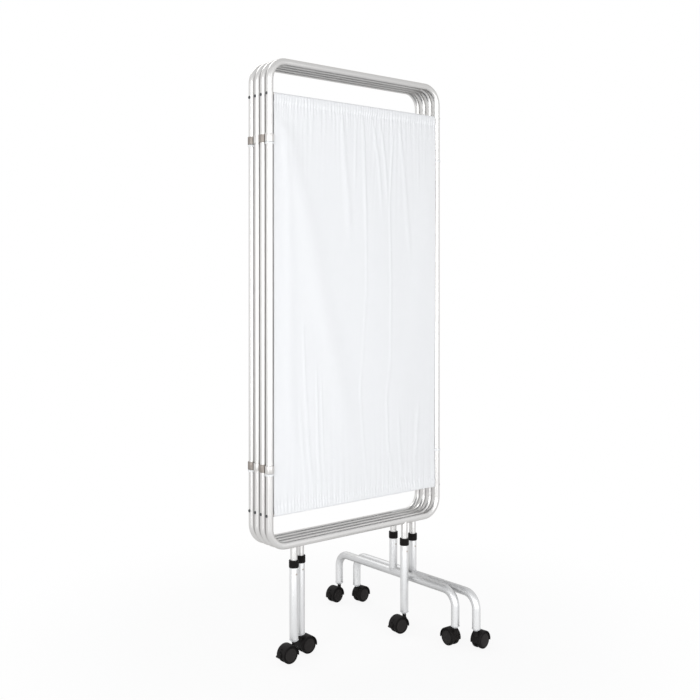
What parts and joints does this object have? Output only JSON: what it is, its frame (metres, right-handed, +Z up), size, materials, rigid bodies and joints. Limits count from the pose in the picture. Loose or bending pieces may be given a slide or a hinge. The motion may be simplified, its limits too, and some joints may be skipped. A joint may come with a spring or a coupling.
{
  "type": "folding ward privacy screen on castors",
  "caption": "Folding ward privacy screen: aluminium tube frames with white curtains, on height-adjustable castor legs and T-shaped feet, shown folded",
  "frame": {"origin": "on the floor, at the middle of the bounding box of the folded screen", "axes": "+Z up; +X along the panels to the right, seen from the front; -Y towards the front panel d"},
  "size_m": [0.6468, 0.6128, 1.641],
  "materials": {
    "frame_tube": "satin anodised, pale silver",
    "clamp_metal": "satin, slightly darker than the tube",
    "rod_metal": "plain drawn rod",
    "curtain_cloth": "thin white synthetic curtain cloth with a faint sheen",
    "black_plastic": "moulded black nylon",
    "pale_plastic": "smooth off-white moulding",
    "wheel_rubber": "black nylon wheel tread"
  },
  "bodies": {
    "panel_c": {"frame_c": "frame_tube", "upper_rod_c": "rod_metal", "lower_rod_c": "rod_metal", "curtain_c": "curtain_cloth", "upper_clamp_bc": "clamp_metal", "lower_clamp_bc": "clamp_metal", "upper_clamp_cd": "clamp_metal", "lower_clamp_cd": "clamp_metal"},
    "panel_b": {"frame_b": "frame_tube", "upper_rod_b": "rod_metal", "lower_rod_b": "rod_metal", "curtain_b": "curtain_cloth", "upper_clamp_ab": "clamp_metal", "lower_clamp_ab": "clamp_metal"},
    "panel_a": {"frame_a": "frame_tube", "upper_rod_a": "rod_metal", "lower_rod_a": "rod_metal", "curtain_a": "curtain_cloth"},
    "panel_d": {"frame_d": "frame_tube", "upper_rod_d": "rod_metal", "lower_rod_d": "rod_metal", "curtain_d": "curtain_cloth"},
    "leg_d": {"leg_tube_d": "frame_tube", "castor_bush_leg_d": "pale_plastic"},
    "collar_leg_d": {"collar_leg_d": "black_plastic"},
    "leg_c": {"leg_tube_c": "frame_tube", "castor_bush_leg_c": "pale_plastic"},
    "collar_leg_c": {"collar_leg_c": "black_plastic"},
    "leg_b": {"leg_tube_b": "frame_tube", "castor_bush_leg_b": "pale_plastic"},
    "collar_leg_b": {"collar_leg_b": "black_plastic"},
    "collar_foot_a": {"collar_foot_a": "black_plastic"},
    "foot_a": {"t_foot_a": "frame_tube", "castor_bush_foot_a_front": "pale_plastic", "castor_bush_foot_a_rear": "pale_plastic"},
    "collar_foot_c": {"collar_foot_c": "black_plastic"},
    "foot_c": {"t_foot_c": "frame_tube", "castor_bush_foot_c_front": "pale_plastic", "castor_bush_foot_c_rear": "pale_plastic"},
    "castor_leg_d": {"castor_body_leg_d": "black_plastic"},
    "wheels_leg_d": {"castor_wheels_leg_d": "wheel_rubber"},
    "brake_leg_d": {"brake_pedal_leg_d": "black_plastic"},
    "castor_leg_c": {"castor_body_leg_c": "black_plastic"},
    "wheels_leg_c": {"castor_wheels_leg_c": "wheel_rubber"},
    "brake_leg_c": {"brake_pedal_leg_c": "black_plastic"},
    "castor_leg_b": {"castor_body_leg_b": "black_plastic"},
    "wheels_leg_b": {"castor_wheels_leg_b": "wheel_rubber"},
    "castor_foot_c_front": {"castor_body_foot_c_front": "black_plastic"},
    "wheels_foot_c_front": {"castor_wheels_foot_c_front": "wheel_rubber"},
    "castor_foot_c_rear": {"castor_body_foot_c_rear": "black_plastic"},
    "wheels_foot_c_rear": {"castor_wheels_foot_c_rear": "wheel_rubber"},
    "castor_foot_a_front": {"castor_body_foot_a_front": "black_plastic"},
    "wheels_foot_a_front": {"castor_wheels_foot_a_front": "wheel_rubber"},
    "castor_foot_a_rear": {"castor_body_foot_a_rear": "black_plastic"},
    "wheels_foot_a_rear": {"castor_wheels_foot_a_rear": "wheel_rubber"},
    "brake_foot_a_rear": {"brake_pedal_foot_a_rear": "black_plastic"}
  },
  "joints": [
    {"name": "fold_d", "type": "hinge", "parent": "panel_c", "child": "panel_d", "pos_m": [-0.311, -0.054, 0.98], "axis": [0, 0, -1], "range_deg": [0, 120]},
    {"name": "fold_b", "type": "hinge", "parent": "panel_c", "child": "panel_b", "pos_m": [0.311, 0, 0.98], "axis": [0, 0, -1], "range_deg": [0, 120]},
    {"name": "fold_a", "type": "hinge", "parent": "panel_b", "child": "panel_a", "pos_m": [-0.311, 0.027, 0.98], "axis": [0, 0, 1], "range_deg": [0, 120]},
    {"name": "height_leg_d", "type": "slide", "parent": "panel_d", "child": "leg_d", "axis": [0, 0, -1], "range_m": [-0.015, 0.04]},
    {"name": "twist_collar_leg_d", "type": "hinge", "parent": "leg_d", "child": "collar_leg_d", "pos_m": [0.177, -0.054, 0.267], "axis": [0, 0, 1], "range_deg": [0, 90]},
    {"name": "height_leg_c", "type": "slide", "parent": "panel_c", "child": "leg_c", "axis": [0, 0, -1], "range_m": [-0.015, 0.04]},
    {"name": "twist_collar_leg_c", "type": "hinge", "parent": "leg_c", "child": "collar_leg_c", "pos_m": [-0.211, -0.027, 0.267], "axis": [0, 0, 1], "range_deg": [0, 90]},
    {"name": "height_leg_b", "type": "slide", "parent": "panel_b", "child": "leg_b", "axis": [0, 0, -1], "range_m": [-0.015, 0.04]},
    {"name": "twist_collar_leg_b", "type": "hinge", "parent": "leg_b", "child": "collar_leg_b", "pos_m": [-0.168, 0, 0.267], "axis": [0, 0, 1], "range_deg": [0, 90]},
    {"name": "height_foot_a", "type": "slide", "parent": "panel_a", "child": "collar_foot_a", "axis": [0, 0, -1], "range_m": [-0.015, 0.04]},
    {"name": "turn_foot_a", "type": "hinge", "parent": "collar_foot_a", "child": "foot_a", "pos_m": [0.2065, 0.027, 0.2], "axis": [0, 0, -1], "range_deg": [0, 60]},
    {"name": "height_foot_c", "type": "slide", "parent": "panel_c", "child": "collar_foot_c", "axis": [0, 0, -1], "range_m": [-0.015, 0.04]},
    {"name": "turn_foot_c", "type": "hinge", "parent": "collar_foot_c", "child": "foot_c", "pos_m": [0.236, -0.027, 0.2], "axis": [0, 0, -1], "range_deg": [0, 60]},
    {"name": "swivel_leg_d", "type": "hinge", "parent": "leg_d", "child": "castor_leg_d", "pos_m": [0.177, -0.054, 0.06], "axis": [0, 0, 1], "continuous": true},
    {"name": "roll_leg_d", "type": "hinge", "parent": "castor_leg_d", "child": "wheels_leg_d", "pos_m": [0.15711, -0.05191, 0.02389], "axis": [0.1045, 0.9945, 0], "continuous": true},
    {"name": "press_brake_leg_d", "type": "hinge", "parent": "castor_leg_d", "child": "brake_leg_d", "pos_m": [0.13029, -0.04909, 0.02039], "axis": [-0.1045, -0.9945, 0], "range_deg": [0, 15]},
    {"name": "swivel_leg_c", "type": "hinge", "parent": "leg_c", "child": "castor_leg_c", "pos_m": [-0.211, -0.027, 0.06], "axis": [0, 0, 1], "range_deg": [-100, 100]},
    {"name": "roll_leg_c", "type": "hinge", "parent": "castor_leg_c", "child": "wheels_leg_c", "pos_m": [-0.231, -0.027, 0.02389], "axis": [0, 1, 0], "continuous": true},
    {"name": "press_brake_leg_c", "type": "hinge", "parent": "castor_leg_c", "child": "brake_leg_c", "pos_m": [-0.25797, -0.027, 0.02039], "axis": [0, -1, 0], "range_deg": [0, 15]},
    {"name": "swivel_leg_b", "type": "hinge", "parent": "leg_b", "child": "castor_leg_b", "pos_m": [-0.168, 0, 0.06], "axis": [0, 0, 1], "range_deg": [-100, 100]},
    {"name": "roll_leg_b", "type": "hinge", "parent": "castor_leg_b", "child": "wheels_leg_b", "pos_m": [-0.148, 0, 0.02389], "axis": [0, -1, 0], "continuous": true},
    {"name": "swivel_foot_c_front", "type": "hinge", "parent": "foot_c", "child": "castor_foot_c_front", "pos_m": [0.236, -0.2895, 0.06], "axis": [0, 0, 1], "range_deg": [-100, 70]},
    {"name": "roll_foot_c_front", "type": "hinge", "parent": "castor_foot_c_front", "child": "wheels_foot_c_front", "pos_m": [0.25585, -0.28706, 0.02389], "axis": [0.1219, -0.9925, 0], "continuous": true},
    {"name": "swivel_foot_c_rear", "type": "hinge", "parent": "foot_c", "child": "castor_foot_c_rear", "pos_m": [0.236, 0.2355, 0.06], "axis": [0, 0, 1], "range_deg": [-100, 80]},
    {"name": "roll_foot_c_rear", "type": "hinge", "parent": "castor_foot_c_rear", "child": "wheels_foot_c_rear", "pos_m": [0.25585, 0.23794, 0.02389], "axis": [0.1219, -0.9925, 0], "continuous": true},
    {"name": "swivel_foot_a_front", "type": "hinge", "parent": "foot_a", "child": "castor_foot_a_front", "pos_m": [0.2065, -0.2355, 0.06], "axis": [0, 0, 1], "range_deg": [-90, 60]},
    {"name": "roll_foot_a_front", "type": "hinge", "parent": "castor_foot_a_front", "child": "wheels_foot_a_front", "pos_m": [0.2072, -0.21551, 0.02389], "axis": [0.9994, -0.0349, 0], "continuous": true},
    {"name": "swivel_foot_a_rear", "type": "hinge", "parent": "foot_a", "child": "castor_foot_a_rear", "pos_m": [0.2065, 0.2895, 0.06], "axis": [0, 0, 1], "range_deg": [-100, 80]},
    {"name": "roll_foot_a_rear", "type": "hinge", "parent": "castor_foot_a_rear", "child": "wheels_foot_a_rear", "pos_m": [0.18665, 0.28706, 0.02389], "axis": [-0.1219, 0.9925, 0], "continuous": true},
    {"name": "press_brake_foot_a_rear", "type": "hinge", "parent": "castor_foot_a_rear", "child": "brake_foot_a_rear", "pos_m": [0.15988, 0.28378, 0.02039], "axis": [0.1219, -0.9925, 0], "range_deg": [0, 15]}
  ],
  "couplings": [
    {"joint": "fold_b", "follows": "fold_d", "ratio": 1},
    {"joint": "fold_a", "follows": "fold_d", "ratio": 1},
    {"joint": "turn_foot_c", "follows": "fold_d", "ratio": 0.5},
    {"joint": "turn_foot_a", "follows": "fold_d", "ratio": 0.5}
  ]
}
